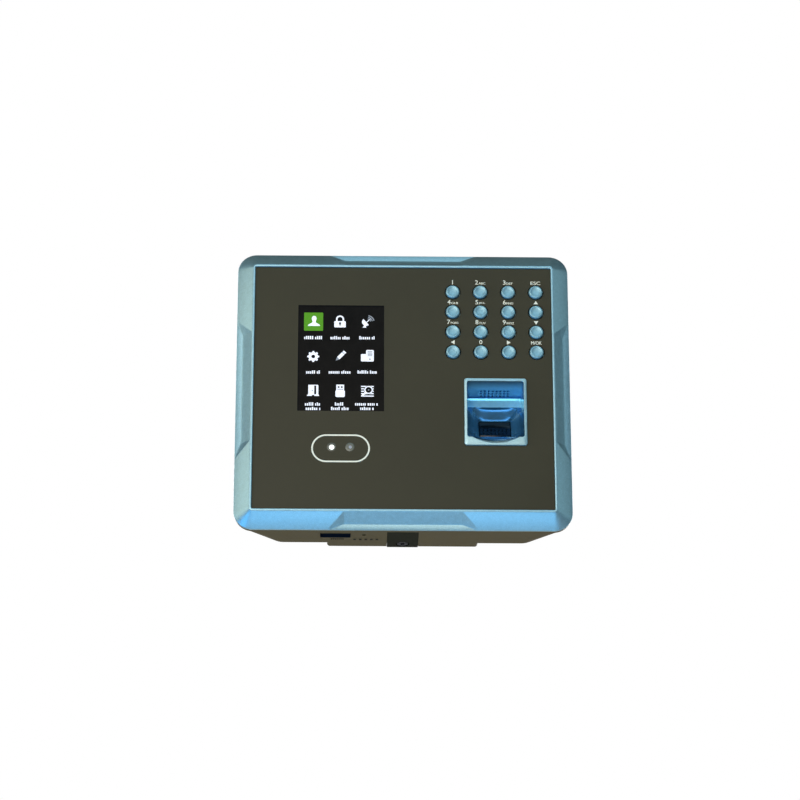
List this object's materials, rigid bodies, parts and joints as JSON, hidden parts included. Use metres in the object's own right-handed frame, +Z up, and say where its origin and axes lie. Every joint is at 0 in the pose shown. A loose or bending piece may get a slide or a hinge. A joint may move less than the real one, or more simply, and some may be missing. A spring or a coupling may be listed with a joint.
{
  "type": "fingerprint scanner terminal",
  "caption": "Wall-mounted access terminal with a fingerprint sensor, keypad, colour display, twin camera window, dark front panel in a faceted blue frame, and a steel wall plate.",
  "frame": {"origin": "centre of the wall plate's four screw holes, on the wall plane", "axes": "+Z up, +Y into the wall, so the front faces -Y; +X along the width, to the right of a person facing the terminal"},
  "size_m": [0.1676, 0.0325, 0.1488],
  "materials": {
    "cover_lacquer": "fine metallic light blue lacquer on moulded plastic",
    "key_lacquer": "metallic light blue lacquer, worn brighter at the edge",
    "sensor_lacquer": "metallic blue lacquer",
    "panel_acrylic": "smooth dark acrylic, back-painted",
    "display_glass": "smooth dark display face",
    "sensor_prism": "polished dark glass prism",
    "camera_housing": "moulded, fine grain",
    "case_plastic": "moulded, fine spark-eroded grain",
    "black_plastic": "moulded",
    "white_plastic": "moulded",
    "silicone": "moulded silicone",
    "black_foam": "closed-cell foam tape",
    "circuit_board": "solder resist over glass epoxy",
    "chip_resin": "moulded epoxy",
    "flex_film": "polyimide film",
    "socket_steel": "tin-plated sheet",
    "screw_steel": "zinc plated",
    "cell_steel": "nickel plated",
    "lock_steel": "blackened steel",
    "plate_steel": "dark textured powder coat",
    "insert_brass": "turned",
    "terminal_plastic": "moulded nylon",
    "relay_plastic": "moulded",
    "speaker_cone": "paper cone in a plastic ring"
  },
  "bodies": {
    "root": {"front_cover": "cover_lacquer", "front_panel": "panel_acrylic", "panel_tape": "black_foam", "keypad_mat": "silicone", "key_switches": "black_plastic", "keypad_board": "circuit_board", "keypad_screws": "screw_steel", "sensor_frame": "sensor_lacquer", "sensor_glass": "sensor_prism", "sensor_block": "black_plastic", "sensor_board": "circuit_board", "sensor_screws": "screw_steel", "display_module": "display_glass", "display_flex": "flex_film", "camera_board": "circuit_board", "visible_camera": "camera_housing", "infrared_camera": "camera_housing", "main_board": "circuit_board", "board_chips": "chip_resin", "usb_socket": "socket_steel", "lan_jack": "socket_steel", "power_jack": "black_plastic", "terminal_blocks": "terminal_plastic", "relay": "relay_plastic", "coin_cell": "cell_steel", "speaker": "speaker_cone", "reset_switch": "black_plastic", "tamper_switch": "black_plastic", "sensor_cable": "white_plastic", "keypad_cable": "white_plastic", "board_screws": "screw_steel", "case_screws": "screw_steel", "rear_case": "case_plastic", "wall_plate": "plate_steel", "lock_screw": "lock_steel", "lock_insert": "insert_brass"},
    "key_1_cap": {"key_1": "key_lacquer"},
    "key_2_cap": {"key_2": "key_lacquer"},
    "key_3_cap": {"key_3": "key_lacquer"},
    "key_esc_cap": {"key_esc": "key_lacquer"},
    "key_4_cap": {"key_4": "key_lacquer"},
    "key_5_cap": {"key_5": "key_lacquer"},
    "key_6_cap": {"key_6": "key_lacquer"},
    "key_up_cap": {"key_up": "key_lacquer"},
    "key_7_cap": {"key_7": "key_lacquer"},
    "key_8_cap": {"key_8": "key_lacquer"},
    "key_9_cap": {"key_9": "key_lacquer"},
    "key_down_cap": {"key_down": "key_lacquer"},
    "key_left_cap": {"key_left": "key_lacquer"},
    "key_0_cap": {"key_0": "key_lacquer"},
    "key_right_cap": {"key_right": "key_lacquer"},
    "key_ok_cap": {"key_ok": "key_lacquer"},
    "reset_plunger": {"reset_button": "white_plastic"},
    "tamper_plunger": {"tamper_button": "white_plastic"}
  },
  "joints": [
    {"name": "key_1_press", "type": "slide", "parent": "root", "child": "key_1_cap", "axis": [0, 1, 0], "range_m": [0, 0.0008], "stiffness_N_per_m": 300, "springref_m": -0.001},
    {"name": "key_2_press", "type": "slide", "parent": "root", "child": "key_2_cap", "axis": [0, 1, 0], "range_m": [0, 0.0008], "stiffness_N_per_m": 300, "springref_m": -0.001},
    {"name": "key_3_press", "type": "slide", "parent": "root", "child": "key_3_cap", "axis": [0, 1, 0], "range_m": [0, 0.0008], "stiffness_N_per_m": 300, "springref_m": -0.001},
    {"name": "key_esc_press", "type": "slide", "parent": "root", "child": "key_esc_cap", "axis": [0, 1, 0], "range_m": [0, 0.0008], "stiffness_N_per_m": 300, "springref_m": -0.001},
    {"name": "key_4_press", "type": "slide", "parent": "root", "child": "key_4_cap", "axis": [0, 1, 0], "range_m": [0, 0.0008], "stiffness_N_per_m": 300, "springref_m": -0.001},
    {"name": "key_5_press", "type": "slide", "parent": "root", "child": "key_5_cap", "axis": [0, 1, 0], "range_m": [0, 0.0008], "stiffness_N_per_m": 300, "springref_m": -0.001},
    {"name": "key_6_press", "type": "slide", "parent": "root", "child": "key_6_cap", "axis": [0, 1, 0], "range_m": [0, 0.0008], "stiffness_N_per_m": 300, "springref_m": -0.001},
    {"name": "key_up_press", "type": "slide", "parent": "root", "child": "key_up_cap", "axis": [0, 1, 0], "range_m": [0, 0.0008], "stiffness_N_per_m": 300, "springref_m": -0.001},
    {"name": "key_7_press", "type": "slide", "parent": "root", "child": "key_7_cap", "axis": [0, 1, 0], "range_m": [0, 0.0008], "stiffness_N_per_m": 300, "springref_m": -0.001},
    {"name": "key_8_press", "type": "slide", "parent": "root", "child": "key_8_cap", "axis": [0, 1, 0], "range_m": [0, 0.0008], "stiffness_N_per_m": 300, "springref_m": -0.001},
    {"name": "key_9_press", "type": "slide", "parent": "root", "child": "key_9_cap", "axis": [0, 1, 0], "range_m": [0, 0.0008], "stiffness_N_per_m": 300, "springref_m": -0.001},
    {"name": "key_down_press", "type": "slide", "parent": "root", "child": "key_down_cap", "axis": [0, 1, 0], "range_m": [0, 0.0008], "stiffness_N_per_m": 300, "springref_m": -0.001},
    {"name": "key_left_press", "type": "slide", "parent": "root", "child": "key_left_cap", "axis": [0, 1, 0], "range_m": [0, 0.0008], "stiffness_N_per_m": 300, "springref_m": -0.001},
    {"name": "key_0_press", "type": "slide", "parent": "root", "child": "key_0_cap", "axis": [0, 1, 0], "range_m": [0, 0.0008], "stiffness_N_per_m": 300, "springref_m": -0.001},
    {"name": "key_right_press", "type": "slide", "parent": "root", "child": "key_right_cap", "axis": [0, 1, 0], "range_m": [0, 0.0008], "stiffness_N_per_m": 300, "springref_m": -0.001},
    {"name": "key_ok_press", "type": "slide", "parent": "root", "child": "key_ok_cap", "axis": [0, 1, 0], "range_m": [0, 0.0008], "stiffness_N_per_m": 300, "springref_m": -0.001},
    {"name": "reset_press", "type": "slide", "parent": "root", "child": "reset_plunger", "axis": [0, 0, 1], "range_m": [0, 0.0005], "stiffness_N_per_m": 400, "springref_m": -0.001},
    {"name": "tamper_press", "type": "slide", "parent": "root", "child": "tamper_plunger", "axis": [0, -1, 0], "range_m": [0, 0.001], "stiffness_N_per_m": 300, "springref_m": -0.001}
  ]
}
